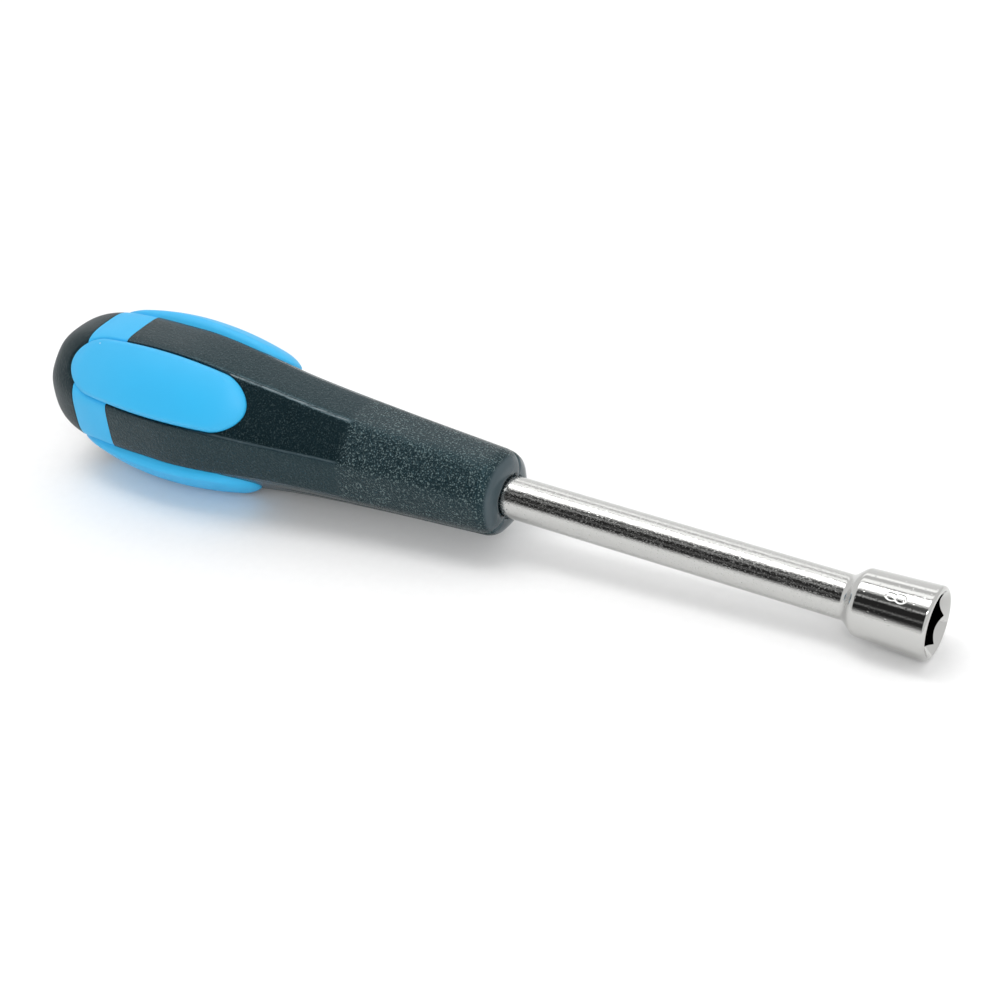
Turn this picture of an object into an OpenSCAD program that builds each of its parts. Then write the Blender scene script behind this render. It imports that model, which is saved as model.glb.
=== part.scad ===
// Hexagon nut driver: a chromed steel blade in a moulded handle of hard core, hard sleeve and soft grip.
// The axis lies along X, the middle of the socket mouth is the origin, and the handle reaches towards -X.
// Stations along the handle are counted backwards from the flat face of its nose.

/* [Blade] */
// Size of the nut, across its flats
nut_size = 8; // [5.5:0.5:10]
// Wall of the socket at the corners of the hexagon
socket_wall = 1.2; // [1:0.1:2]
// How much thinner the socket is at its rear end than at its mouth
socket_draw = 0.9; // [0.2:0.1:1]
// Length of the socket, from the mouth to the shoulder
socket_len = 11.5; // [9:0.5:16]
// Length of the shoulder between socket and shaft
shoulder_len = 3; // [2.4:0.2:8]
// Depth of the hexagon recess
hex_depth = 9; // [5:0.5:10]
// Diameter of the shaft
shaft_d = 7.3; // [6:0.1:7.6]
// Length of blade in front of the handle
blade_len = 75; // [50:1:150]
// Length of shaft held in the handle
tang_len = 66; // [50:1:75]

/* [Handle] */
// Length of the handle, from the nose to the butt
handle_len = 98; // [96:0.5:115]
// Diameter of the nose
nose_d = 15.1; // [14:0.1:18]
// Width across the flats at the front tips of the pads
waist_w = 22.8; // [20:0.2:24]
// Width across the flats at the thickest part
swell_w = 26.8; // [25:0.2:30]
// Station of the thickest part
swell_pos = 67.5; // [64:0.5:74]
// Thickness of the sleeve and of the soft grip over the core
layer_t = 2.6; // [2:0.1:3]

/* [Grip] */
// Station of the pads' front tips
pad_pos = 49.2; // [46:0.2:56]
// Length of a pad
pad_len = 40; // [36:0.2:44]
// Width of a pad at its rear end
pad_w = 10.9; // [9:0.1:12]
// Width of a pad at its front end
pad_front_w = 10.8; // [9:0.1:12]
// How far the long sides of a pad bow out between its ends
pad_bow = 0.7; // [0:0.05:1]
// Height of a pad's crest over the flat that it lies on
pad_rise = 2; // [1.5:0.1:3.5]
// Station where a pad is highest
crest_pos = 70.4; // [66:0.2:74]
// Station of the band's front edge
band_pos = 78; // [74:0.1:84]
// Width of the band
band_w = 9; // [6:0.1:10]

/* [Hidden] */

// Fits and cuts
nut_clearance = 0.1;
bond_gap = 0.05;
overrun = 1;

// Hexagon recess: widths, the drilled bottom and the chamfer that leads a nut in
hex_sides = 6;
hex_turn = 68;
recess_w = nut_size + nut_clearance;
recess_corner_d = recess_w / cos(180 / hex_sides);
recess_depth = min(hex_depth, socket_len);
drill_cone_share = 0.25;
drill_cone = recess_w * drill_cone_share;
lead_in_share = 0.46;
lead_in = socket_wall * lead_in_share;
mouth_d = recess_corner_d + 2 * lead_in;

// Socket and shaft: diameters, rounded rim and the chamfered end of the tang
socket_d = recess_corner_d + 2 * socket_wall;
socket_rear_d = socket_d - socket_draw;
rim_share = 0.46;
rim_round = socket_wall * rim_share;
tang_chamfer_share = 0.08;
tang_chamfer = shaft_d * tang_chamfer_share;

// Ears swaged on the tang, which keep it from turning in the core
ear_count = 2;
ear_len_share = 0.16;
ear_len = tang_len * ear_len_share;
ear_w_share = 1.4;
ear_w = shaft_d * ear_w_share;
ear_root_share = 0.5;
ear_root_w = shaft_d * ear_root_share;
ear_t_share = 0.33;
ear_t = shaft_d * ear_t_share;
ear_taper_share = 0.25;
ear_taper = ear_len * ear_taper_share;

// Nose: rounded rim and the flat that the shaft comes out of
nose_round_share = 0.225;
nose_round = nose_d * nose_round_share;
nose_flat_share = 0.06;
nose_flat_d = shaft_d + nose_d * nose_flat_share;

// Slopes of the flats where the handle's long curve passes the nose and the pads' tips
nose_slope_share = 0.058;
waist_slope_share = 0.145;

// Butt: the power of the curve that closes it, and the arc of that curve that is used
butt_power_share = 3.3;
butt_arc = 80;
butt_len = (handle_len - swell_pos) / pow(sin(butt_arc), 2 / butt_power_share);

// Octagonal section: flats that bow out a little, with a power that is high where the ridges are crisp
// and low where the nose is round
side_count = 8;
side_turn = 360 / side_count;
flat_bow_share = 0.95;
nose_ridge_share = 9;
waist_ridge_share = 60;
butt_ridge_share = 20;
ridge_ramp_share = 1.5;

// Pads: rounded ends, rounded edges that run out longer at the ends, and the arcs of the crest
pad_count = 4;
pad_turn = 45;
front_end_share = 0.57;
front_end_len = pad_front_w * front_end_share;
rear_end_share = 0.63;
rear_end_len = pad_w * rear_end_share;
pad_front_mid = pad_pos + front_end_len;
pad_rear_mid = pad_pos + pad_len - rear_end_len;
pad_round_share = 0.5;
pad_round = pad_rise * pad_round_share;
front_run_share = 4.4;
rear_run_share = 3.6;
crest_share = 2.75;
crest_r = swell_w * crest_share;
rear_crest_share = 2.1;
rear_crest_r = swell_w * rear_crest_share;
crown_share = 0.65;
crown_r = swell_w * crown_share;
pad_root = waist_w / 2 - 2 * layer_t;

// Core: how far behind the nose it starts, and how far it reaches under the butt
core_start_share = 0.75;
core_pos = nose_d * core_start_share;
band_end = band_pos + band_w;
core_end = band_end + layer_t;

// Fineness of curves
facets = 64;
facet_shift_share = 0.5;
fine_fn = 96;
nose_steps = 5;
shank_steps = 8;
swell_steps = 5;
butt_steps = 10;
edge_steps = 4;
crown_steps = 2;
end_steps = 11;
side_steps = 9;
arc_steps = 8;
row_gap = 0.3;

// Stations and sections

function along(d) = -blade_len - d;

function blend(a, b, s) = a + (b - a) * s;

function clip(s) = max(0, min(1, s));

// Cubic curve from one width to the next, with given slopes at both ends
function cubic(d, d0, d1, w0, w1, slope0, slope1) =
    let (s = (d - d0) / (d1 - d0), span = d1 - d0)
    w0 * (1 + s * s * (2 * s - 3)) + w1 * s * s * (3 - 2 * s)
    + slope0 * span * s * (1 - s) * (1 - s) - slope1 * span * s * s * (1 - s);

// Distance from the axis to the flats at a station
function flat_at(d) =
    d < nose_round ? blend(nose_flat_d / 2, nose_d / 2, sqrt(1 - pow(1 - d / nose_round, 2)))
    : d < pad_pos
    ? cubic(d, nose_round, pad_pos, nose_d / 2, waist_w / 2, nose_slope_share, waist_slope_share)
    : d < swell_pos ? cubic(d, pad_pos, swell_pos, waist_w / 2, swell_w / 2, waist_slope_share, 0)
    : swell_w / 2 * pow(max(0, 1 - pow((d - swell_pos) / butt_len, butt_power_share)), 1 / butt_power_share);

// Crispness of the ridges at a station
function ridge_at(d) =
    let (
        ramp = pow(clip((d - nose_round) / (pad_pos - nose_round)), ridge_ramp_share),
        fade = clip((d - pad_pos) / (handle_len - pad_pos))
    )
    d < pad_pos
    ? blend(nose_ridge_share, waist_ridge_share, ramp)
    : blend(waist_ridge_share, butt_ridge_share, fade);

// Angle brought back to between -180 and 180
function wrap(turn) = (turn + 540) % 360 - 180;

// Distance from the axis to the skin in one direction, for flats at a distance of 1
function octagon(turn, power) =
    let (pulls = [
        for (k = [0:side_count - 1])
        pow(max(0, cos(wrap(turn - k * side_turn) * flat_bow_share)), power)
    ])
    1 / pow(pulls * [for (k = [1:side_count]) 1], 1 / power);

// Closed row of points round the handle at a station, lying a given depth under the skin
function ring(d, depth) = [
    for (i = [0:facets - 1])
    let (
        turn = 360 * (i + facet_shift_share) / facets,
        reach = flat_at(d) * octagon(turn, ridge_at(d)) - depth
    )
    [along(d), reach * cos(turn), reach * sin(turn)]
];

// Rows of stations, close where the curve is tight
nose_row = [for (i = [0:nose_steps]) nose_round * (1 - cos(90 * i / nose_steps))];
shank_row = [for (i = [1:shank_steps]) blend(nose_round, pad_pos, i / shank_steps)];
swell_row = [for (i = [1:swell_steps]) blend(pad_pos, swell_pos, i / swell_steps)];
butt_row = [
    for (i = [1:butt_steps])
    swell_pos + butt_len * pow(sin(butt_arc * i / butt_steps), 2 / butt_power_share)
];
all_rows = concat(nose_row, shank_row, swell_row, butt_row);

function rows_between(d0, d1) =
    concat([d0], [for (d = all_rows) if (d > d0 + row_gap && d < d1 - row_gap) d], [d1]);

// Shapes that repeat

module skin_round(points)
    hull()
        polyhedron(points, [[for (i = [0:len(points) - 1]) i]]);

// Solid along the handle between two stations, lying a given depth under the skin
module loft(d0, d1, depth) {
    rows = rows_between(d0, d1);
    for (i = [0:len(rows) - 2])
        skin_round(concat(ring(rows[i], depth), ring(rows[i + 1], depth)));
}

module around_pads()
    for (k = [0:pad_count - 1])
        rotate([pad_turn + 360 / pad_count * k, 0, 0])
            children();

// Pad: half its width at a station, bowed out between the ends
function pad_half(d) =
    let (s = (d - pad_front_mid) / (pad_rear_mid - pad_front_mid))
    blend(pad_front_w, pad_w, s) / 2 + 4 * pad_bow * s * (1 - s);

function pad_end(mid, reach, inset, keep, first_turn) = [
    for (i = [0:end_steps])
    let (turn = first_turn + 180 * i / end_steps, d = mid + reach * keep * cos(turn))
    [d, (pad_half(d) - inset) * keep * sin(turn)]
];

function pad_side(d0, d1, inset, keep) = [
    for (i = [1:side_steps - 1])
    let (d = blend(d0, d1, i / side_steps))
    [d, (pad_half(d) - inset) * keep]
];

// Outline in plan, as station and offset to the side: drawn in by an inset, which runs longer at the ends,
// and then shrunk to a share that is kept of its width and of its ends
function pad_outline(inset, front_run, rear_run, keep) =
    concat(
        pad_end(pad_front_mid, front_end_len - inset * front_run, inset, keep, 90),
        pad_side(pad_front_mid, pad_rear_mid, inset, -keep),
        pad_end(pad_rear_mid, rear_end_len - inset * rear_run, inset, keep, -90),
        pad_side(pad_rear_mid, pad_front_mid, inset, keep)
    );

// Height of the crest over the axis, falling faster behind its highest station than in front of it
function crest_at(d, side) =
    let (fall_r = d > crest_pos ? rear_crest_r : crest_r)
    swell_w / 2 + pad_rise - pow(d - crest_pos, 2) / (2 * fall_r) - pow(side, 2) / (2 * crown_r);

function face_at(d, side) = min(flat_at(d), flat_at(d) * sqrt(2) - abs(side));

// One closed row of points round the pad, at a share of the way up its rounded edge
function pad_ring(inset, share, keep) = [
    for (p = pad_outline(inset, front_run_share, rear_run_share, keep))
    [along(p[0]), -blend(face_at(p[0], p[1]), crest_at(p[0], p[1]), share), p[1]]
];

pad_points = concat(
    [for (p = pad_outline(0, 1, 1, 1)) [along(p[0]), -pad_root, p[1]]],
    [
        for (i = [0:edge_steps])
        let (turn = 90 * i / edge_steps)
        each pad_ring(pad_round * (1 - cos(turn)), sin(turn), 1)
    ],
    [
        for (i = [1:crown_steps])
        each pad_ring(pad_round, 1, 1 - i / crown_steps)
    ]
);

module pad()
    skin_round(pad_points);

// Room for a pad, cut straight down to the core
module pad_room()
    rotate([90, 0, 0])
        linear_extrude(swell_w)
            polygon([for (p = pad_outline(-bond_gap, 1, 1, 1)) [along(p[0]), p[1]]]);

// Ears: both sides of the tang at one place, grown by a gap for the room that the core leaves

module ear_pair(gap)
    rotate([90, 0, 0])
        linear_extrude(ear_t + 2 * gap, center = true)
            polygon([
                [-ear_len / 2 - gap, ear_root_w / 2],
                [-ear_len / 2 + ear_taper - gap, ear_w / 2 + gap],
                [ear_len / 2 - ear_taper + gap, ear_w / 2 + gap],
                [ear_len / 2 + gap, ear_root_w / 2],
                [ear_len / 2 + gap, -ear_root_w / 2],
                [ear_len / 2 - ear_taper + gap, -ear_w / 2 - gap],
                [-ear_len / 2 + ear_taper - gap, -ear_w / 2 - gap],
                [-ear_len / 2 - gap, -ear_root_w / 2]
            ]);

module ears(gap)
    for (k = [0:ear_count - 1])
        translate([along(blend(core_pos + ear_len, tang_len - ear_len, k / (ear_count - 1))), 0, 0])
            rotate([90 * k, 0, 0])
                ear_pair(gap);

// Straight bore round the shaft, from one station to another
module shaft_room(d0, d1)
    translate([along(d1), 0, 0])
        rotate([0, 90, 0])
            cylinder(d = (shaft_d + 2 * bond_gap) / cos(180 / facets), h = d1 - d0, $fn = facets);

// Blade: half outline from the mouth back to the end of the tang, as radius and X

function rim_arc() = [
    for (i = [0:arc_steps])
    let (turn = 90 * i / arc_steps)
    [socket_d / 2 - rim_round * (1 - sin(turn)), -rim_round * (1 - cos(turn))]
];

// Shoulder: a smooth curve from the socket's radius down to the shaft's
function shoulder_arc() = [
    for (i = [0:arc_steps])
    let (s = i / arc_steps)
    [blend(socket_rear_d / 2, shaft_d / 2, (1 - cos(180 * s)) / 2), -socket_len - shoulder_len * s]
];

module blade_outline()
    polygon(concat(
        [[0, 0]],
        rim_arc(),
        shoulder_arc(),
        [
            [shaft_d / 2, along(tang_len - tang_chamfer)],
            [shaft_d / 2 - tang_chamfer, along(tang_len)],
            [0, along(tang_len)]
        ]
    ));

module hex_recess() {
    rotate([hex_turn, 0, 0])
        translate([-recess_depth, 0, 0])
            rotate([0, 90, 0])
                cylinder(d = recess_corner_d, h = recess_depth + overrun, $fn = hex_sides);
    rotate([0, 90, 0])
        rotate_extrude($fn = fine_fn)
            polygon([
                [0, -recess_depth - drill_cone],
                [recess_w / 2, -recess_depth],
                [recess_w / 2, (recess_w - mouth_d) / 2],
                [mouth_d / 2 + lead_in, lead_in],
                [0, lead_in]
            ]);
}

module blade()
    color("silver")
        difference() {
            union() {
                rotate([0, 90, 0])
                    rotate_extrude($fn = fine_fn)
                        blade_outline();
                ears(0);
            }
            hex_recess();
        }

module handle_core()
    color("#20292c")
        difference() {
            union() {
                loft(core_pos, core_end, layer_t);
                difference() {
                    loft(band_end + bond_gap, handle_len, 0);
                    around_pads() pad_room();
                }
            }
            shaft_room(core_pos - overrun, tang_len + bond_gap);
            ears(bond_gap);
        }

module handle_sleeve()
    color("#2b3639")
        difference() {
            loft(0, band_pos - bond_gap, 0);
            loft(core_pos - bond_gap, band_pos + overrun, layer_t - bond_gap);
            shaft_room(-overrun, core_pos + overrun);
            around_pads() pad_room();
        }

module soft_grip()
    color("#3ba7ec")
        difference() {
            union() {
                loft(band_pos, band_end, 0);
                around_pads() pad();
            }
            loft(core_pos, core_end, layer_t - bond_gap);
        }

blade();
handle_core();
handle_sleeve();
soft_grip();
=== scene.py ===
"""Fine meshes, finishes, floor, light and camera for a nut driver with a soft-grip handle.

Sizes and depths are in millimetres and turns in degrees. The mouth of the socket is at the origin, and the
axis runs from there along -X to the butt.
"""

import logging
import math
from dataclasses import dataclass, field
from enum import Enum
from typing import Any

import bmesh
import bpy
import numpy as np
from mathutils import Matrix, Vector


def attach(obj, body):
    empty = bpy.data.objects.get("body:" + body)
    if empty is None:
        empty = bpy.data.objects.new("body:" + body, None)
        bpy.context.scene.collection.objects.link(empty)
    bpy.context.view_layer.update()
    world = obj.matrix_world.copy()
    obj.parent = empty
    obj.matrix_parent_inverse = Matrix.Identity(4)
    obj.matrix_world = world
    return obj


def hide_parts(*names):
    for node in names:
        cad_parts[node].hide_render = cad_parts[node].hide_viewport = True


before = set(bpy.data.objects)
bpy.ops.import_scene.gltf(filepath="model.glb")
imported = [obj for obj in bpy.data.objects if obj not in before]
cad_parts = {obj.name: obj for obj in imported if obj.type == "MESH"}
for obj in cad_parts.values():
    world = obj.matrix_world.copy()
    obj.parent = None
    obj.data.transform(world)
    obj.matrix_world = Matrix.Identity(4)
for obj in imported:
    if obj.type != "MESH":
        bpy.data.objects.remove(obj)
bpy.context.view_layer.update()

Array = np.ndarray
Tree = bpy.types.NodeTree
Socket = bpy.types.NodeSocket
Span = tuple[float, float]
MM = 0.001
BODY = "root"
POLISH = "polish"
LOG = logging.getLogger("nut_driver")


class Slot(Enum):
    """Names of the part's material slots; nothing in this script uses them."""

    STEEL = "chromed_steel"
    CORE = "core_plastic"
    SLEEVE = "sleeve_plastic"
    GRIP = "grip_rubber"


class Half(Enum):
    """The two halves of a sector of the handle, either side of a pad's middle line."""

    LEFT = -1
    RIGHT = 1


def linear(colour: str) -> tuple[float, float, float, float]:
    """Turns an sRGB hex colour into linear light.

    Args:
        colour: Six hex digits after a hash sign.

    Returns:
        Red, green, blue and a full alpha.
    """
    shares = [int(colour[i:i + 2], 16) / 255 for i in (1, 3, 5)]
    light = [s / 12.92 if s <= 0.04045 else ((s + 0.055) / 1.055) ** 2.4 for s in shares]
    return light[0], light[1], light[2], 1.0


def add_node(
    tree: Tree,
    kind: str,
    inputs: dict[str | int, Any] | None = None,
    **settings: Any,
) -> bpy.types.Node:
    """Adds one node with its settings, and sets or links its inputs.

    Args:
        tree: The node tree that takes the node.
        kind: Blender's name of the node type, without the ShaderNode in front of it.
        inputs: Input sockets by name or number; a socket as the value is linked, anything else is set.
        **settings: Properties of the node.

    Returns:
        The new node.
    """
    node = tree.nodes.new("ShaderNode" + kind)
    for name, value in settings.items():
        setattr(node, name, value)
    for name, value in (inputs or {}).items():
        if isinstance(value, Socket):
            tree.links.new(value, node.inputs[name])
        else:
            node.inputs[name].default_value = value
    return node


def per_mm(size: float) -> float:
    """Gives the texture scale, in cycles a metre, of a pattern of this size in millimetres."""
    return 1.0 / (size * MM)


def round_axis(x: Array, turn: Array, radius: Array) -> Array:
    """Gives points, in millimetres, this far behind the mouth, at a turn and a distance from the axis."""
    x, turn, radius = np.broadcast_arrays(x, np.radians(turn), radius)
    return np.stack([-x, radius * np.cos(turn), radius * np.sin(turn)], axis=-1)


@dataclass(frozen=True)
class Finish:
    """A procedural finish: one shader whose colour, roughness and relief come from nodes."""

    name: str

    def shade(self, tree: Tree, spot: Socket) -> dict[str, Any]:
        """Gives the inputs of the Principled shader by name, for a spot in metres from the part's origin."""
        raise NotImplementedError

    def build(self) -> bpy.types.Material:
        """Makes the material.

        Returns:
            The material with its nodes linked.
        """
        material = bpy.data.materials.new(self.name)
        material.use_nodes = True
        tree = material.node_tree
        tree.nodes.clear()
        spot = add_node(tree, "TexCoord").outputs["Object"]
        shader = add_node(tree, "BsdfPrincipled", self.shade(tree, spot))
        add_node(tree, "OutputMaterial", {"Surface": shader.outputs["BSDF"]})
        return material


@dataclass(frozen=True)
class ChromePlatedSteel(Finish):
    """Turned steel, polished and chrome plated: a mirror, softened by faint marks of the drawing."""

    name: str = "chrome_plated_steel"
    colour: str = "#c0c0be"
    smooth: float = 0.03
    dull: float = 0.37
    mark_len: float = 0.35
    mark_width: float = 0.17
    mark_depth: float = 0.016
    mark_span: Span = (0.47, 0.68)
    turned_len: float = 14.0
    turned_fade: float = 1.0
    turned_share: float = 0.5
    pit_gap: float = 0.9
    pit: float = 0.16
    pit_depth: float = 0.02

    def shade(self, tree: Tree, spot: Socket) -> dict[str, Any]:
        """Gives the shader's inputs.

        Args:
            tree: The material's node tree.
            spot: The point on the piece.

        Returns:
            Inputs of the Principled shader by name.
        """
        # The bar is drawn and polished lengthwise, so its marks are long along the axis and narrow across it.
        # Real ones are finer and are drawn this coarse so that they show. The socket is turned and polished
        # once more, and keeps them only in part.
        stretch = (per_mm(self.mark_len), per_mm(self.mark_width), per_mm(self.mark_width))
        drawn = add_node(tree, "Mapping", {"Vector": spot, "Scale": stretch})
        marks = add_node(tree, "TexNoise", {
            "Vector": drawn.outputs["Vector"], "Scale": 1.0, "Detail": 3.0, "Roughness": 0.55})
        place = add_node(tree, "SeparateXYZ", {"Vector": spot})
        kept_share = add_node(tree, "MapRange", {
            "Value": place.outputs["X"], "From Min": -(self.turned_len + self.turned_fade) * MM,
            "From Max": -(self.turned_len - self.turned_fade) * MM,
            "To Min": 1.0, "To Max": self.turned_share})
        kept_marks = add_node(tree, "Math", {
            0: marks.outputs["Fac"], 1: kept_share.outputs["Result"]}, operation="MULTIPLY")
        rough = add_node(tree, "MapRange", {
            "Value": kept_marks.outputs["Value"], "From Min": self.mark_span[0],
            "From Max": self.mark_span[1], "To Min": self.smooth, "To Max": self.dull})
        # A few shallow pits under the plating show as specks where the tool mirrors the dark room.
        cells = add_node(tree, "TexVoronoi", {
            "Vector": spot, "Scale": per_mm(self.pit_gap), "Randomness": 1.0})
        pits = add_node(tree, "MapRange", {
            "Value": cells.outputs["Distance"], "From Min": 0.0, "From Max": self.pit / self.pit_gap})
        dents = add_node(tree, "Bump", {
            "Height": pits.outputs["Result"], "Strength": 1.0, "Distance": self.pit_depth * MM})
        relief = add_node(tree, "Bump", {
            "Height": kept_marks.outputs["Value"], "Strength": 1.0, "Distance": self.mark_depth * MM,
            "Normal": dents.outputs["Normal"]})
        return {
            "Base Color": linear(self.colour),
            "Metallic": 1.0,
            "Roughness": rough.outputs["Result"],
            "Normal": relief.outputs["Normal"],
        }


@dataclass(frozen=True)
class MouldedPolypropylene(Finish):
    """Black polypropylene from an etched mould: a satin skin whose grain breaks up every highlight."""

    name: str = "moulded_polypropylene"
    colour: str = "#0a171b"
    pale: str = "#0d1c21"
    # Pale colour of the painted sparkle on the tops of the grain.
    painted_sparkle: str = "#5a6767"
    # Pale colour of the painted sheen on the ridges and the rim of the nose.
    painted_sheen: str = "#2a3b42"
    gloss_tint: str = "#bcf1ff"
    polished_tint: str = "#f4f9fa"
    gloss: float = 0.38
    polished_gloss: float = 0.8
    roughness: float = 0.24
    polish: float = 0.12
    grain: float = 0.3
    grain_depth: float = 0.2
    fine_grain: float = 0.4
    fine_depth: float = 0.08
    top_span: Span = (0.55, 0.69)
    cloud: float = 6.0
    grain_end: float = -104.0
    grain_fade: float = 0.8
    rear_share: float = 0.2
    # Whether the ridges and the nose rim turn glossier and take the painted sheen.
    shows_wear_and_sheen: bool = True

    def shade(self, tree: Tree, spot: Socket) -> dict[str, Any]:
        """Gives the shader's inputs.

        Args:
            tree: The material's node tree.
            spot: The point on the piece.

        Returns:
            Inputs of the Principled shader by name.
        """
        # The front third of the mould is etched coarser than the rest. The ridges and the rim of the nose are
        # the places that hands and the mould's own polish keep smooth and glossy; the same mask also paints
        # them a paler colour, a painted sheen.
        wear_and_sheen = add_node(tree, "Attribute", attribute_name=POLISH)
        unworn = add_node(tree, "MapRange", {
            "Value": wear_and_sheen.outputs["Fac"], "To Min": 1.0, "To Max": 0.0})
        place = add_node(tree, "SeparateXYZ", {"Vector": spot})
        etched = add_node(tree, "MapRange", {
            "Value": place.outputs["X"], "From Min": (self.grain_end - self.grain_fade) * MM,
            "From Max": (self.grain_end + self.grain_fade) * MM, "To Min": self.rear_share})
        zone = add_node(tree, "Math", {
            0: unworn.outputs["Result"], 1: etched.outputs["Result"]}, operation="MULTIPLY")
        # Real etching is finer; it is drawn this coarse so that its sparkle shows.
        coarse = add_node(tree, "TexNoise", {
            "Vector": spot, "Scale": per_mm(self.grain), "Detail": 1.0, "Roughness": 0.5})
        fine = add_node(tree, "TexNoise", {
            "Vector": spot, "Scale": per_mm(self.fine_grain), "Detail": 1.0})
        deep = add_node(tree, "Math", {
            0: coarse.outputs["Fac"], 1: zone.outputs["Value"]}, operation="MULTIPLY")
        shallow = add_node(tree, "Math", {
            0: fine.outputs["Fac"], 1: unworn.outputs["Result"]}, operation="MULTIPLY")
        fine_relief = add_node(tree, "Bump", {
            "Height": shallow.outputs["Value"], "Strength": 1.0, "Distance": self.fine_depth * MM})
        relief = add_node(tree, "Bump", {
            "Height": deep.outputs["Value"], "Strength": 1.0, "Distance": self.grain_depth * MM,
            "Normal": fine_relief.outputs["Normal"]})
        clouds = add_node(tree, "TexNoise", {
            "Vector": spot, "Scale": per_mm(self.cloud), "Detail": 4.0})
        tone = add_node(tree, "Mix", {
            "Factor": clouds.outputs["Fac"], 6: linear(self.colour), 7: linear(self.pale)}, data_type="RGBA")
        # The tops of the coarse grain are painted pale: a painted sparkle that stands in for the glints the
        # grain catches.
        tops = add_node(tree, "MapRange", {
            "Value": coarse.outputs["Fac"], "From Min": self.top_span[0], "From Max": self.top_span[1]})
        painted_sparkle = add_node(tree, "Math", {
            0: tops.outputs["Result"], 1: zone.outputs["Value"]}, operation="MULTIPLY")
        skin = add_node(tree, "Mix", {
            "Factor": painted_sparkle.outputs["Value"], 6: tone.outputs[2], 7: linear(self.painted_sparkle)}, data_type="RGBA")
        looks = {
            "Base Color": skin.outputs[2],
            "Roughness": self.roughness,
            "IOR": 1.5,
            "Specular IOR Level": self.gloss,
            "Specular Tint": linear(self.gloss_tint),
            "Normal": relief.outputs["Normal"],
        }
        if not self.shows_wear_and_sheen:
            return looks
        # A paler colour painted on the ridges and the rim of the nose: a painted sheen that stands in for the
        # light they catch.
        painted_sheen = add_node(tree, "Mix", {
            "Factor": wear_and_sheen.outputs["Fac"], 6: skin.outputs[2], 7: linear(self.painted_sheen)}, data_type="RGBA")
        rough = add_node(tree, "MapRange", {
            "Value": wear_and_sheen.outputs["Fac"], "To Min": self.roughness, "To Max": self.polish})
        gloss = add_node(tree, "MapRange", {
            "Value": wear_and_sheen.outputs["Fac"], "To Min": self.gloss, "To Max": self.polished_gloss})
        tint = add_node(tree, "Mix", {
            "Factor": wear_and_sheen.outputs["Fac"], 6: linear(self.gloss_tint),
            7: linear(self.polished_tint)}, data_type="RGBA")
        return looks | {
            "Base Color": painted_sheen.outputs[2],
            "Roughness": rough.outputs["Result"],
            "Specular IOR Level": gloss.outputs["Result"],
            "Specular Tint": tint.outputs[2],
        }


@dataclass(frozen=True)
class ThermoplasticRubber(Finish):
    """Blue thermoplastic rubber, moulded matt: a soft even glow that gathers a little dust."""

    name: str = "thermoplastic_rubber"
    colour: str = "#2db0e5"
    shade_colour: str = "#29abe1"
    dust: str = "#cfe6f2"
    roughness: Span = (0.46, 0.55)
    cloud: float = 9.0
    cloud_span: Span = (0.3, 0.7)
    skin: float = 0.25
    skin_depth: float = 0.005
    speck_gap: float = 7.0
    speck: float = 0.22
    speck_core: float = 0.5
    speck_share: float = 0.75

    def shade(self, tree: Tree, spot: Socket) -> dict[str, Any]:
        """Gives the shader's inputs.

        Args:
            tree: The material's node tree.
            spot: The point on the piece.

        Returns:
            Inputs of the Principled shader by name.
        """
        # A matt mould leaves a fine even skin, drawn a little coarser than the real one. The soft surface
        # holds a few specks of dust.
        skin = add_node(tree, "TexNoise", {
            "Vector": spot, "Scale": per_mm(self.skin), "Detail": 2.0})
        relief = add_node(tree, "Bump", {
            "Height": skin.outputs["Fac"], "Strength": 1.0, "Distance": self.skin_depth * MM})
        clouds = add_node(tree, "TexNoise", {
            "Vector": spot, "Scale": per_mm(self.cloud), "Detail": 3.0})
        tone = add_node(tree, "Mix", {
            "Factor": clouds.outputs["Fac"], 6: linear(self.colour),
            7: linear(self.shade_colour)}, data_type="RGBA")
        cells = add_node(tree, "TexVoronoi", {
            "Vector": spot, "Scale": per_mm(self.speck_gap), "Randomness": 1.0})
        reach = self.speck / self.speck_gap
        speck = add_node(tree, "MapRange", {
            "Value": cells.outputs["Distance"], "From Min": reach, "From Max": reach * self.speck_core,
            "To Min": 0.0, "To Max": self.speck_share})
        dusty = add_node(tree, "Mix", {
            "Factor": speck.outputs["Result"], 6: tone.outputs[2], 7: linear(self.dust)}, data_type="RGBA")
        rough = add_node(tree, "MapRange", {
            "Value": clouds.outputs["Fac"], "From Min": self.cloud_span[0], "From Max": self.cloud_span[1],
            "To Min": self.roughness[0], "To Max": self.roughness[1]})
        return {
            "Base Color": dusty.outputs[2],
            "Roughness": rough.outputs["Result"],
            "IOR": 1.5,
            "Normal": relief.outputs["Normal"],
        }


@dataclass(frozen=True)
class MattPaper(Finish):
    """White background paper: matt, with a barely visible tooth."""

    name: str = "background_paper"
    colour: str = "#f1f1f1"
    pale: str = "#f5f5f5"
    tooth: float = 1.5

    def shade(self, tree: Tree, spot: Socket) -> dict[str, Any]:
        """Gives the shader's inputs.

        Args:
            tree: The material's node tree.
            spot: The point on the paper.

        Returns:
            Inputs of the Principled shader by name.
        """
        # Real fibres are finer; they are drawn this coarse so that they show at all.
        fibres = add_node(tree, "TexNoise", {"Vector": spot, "Scale": per_mm(self.tooth)})
        tone = add_node(tree, "Mix", {
            "Factor": fibres.outputs["Fac"], 6: linear(self.colour), 7: linear(self.pale)}, data_type="RGBA")
        return {"Base Color": tone.outputs[2], "Roughness": 0.9, "Specular IOR Level": 0.2}


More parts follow.
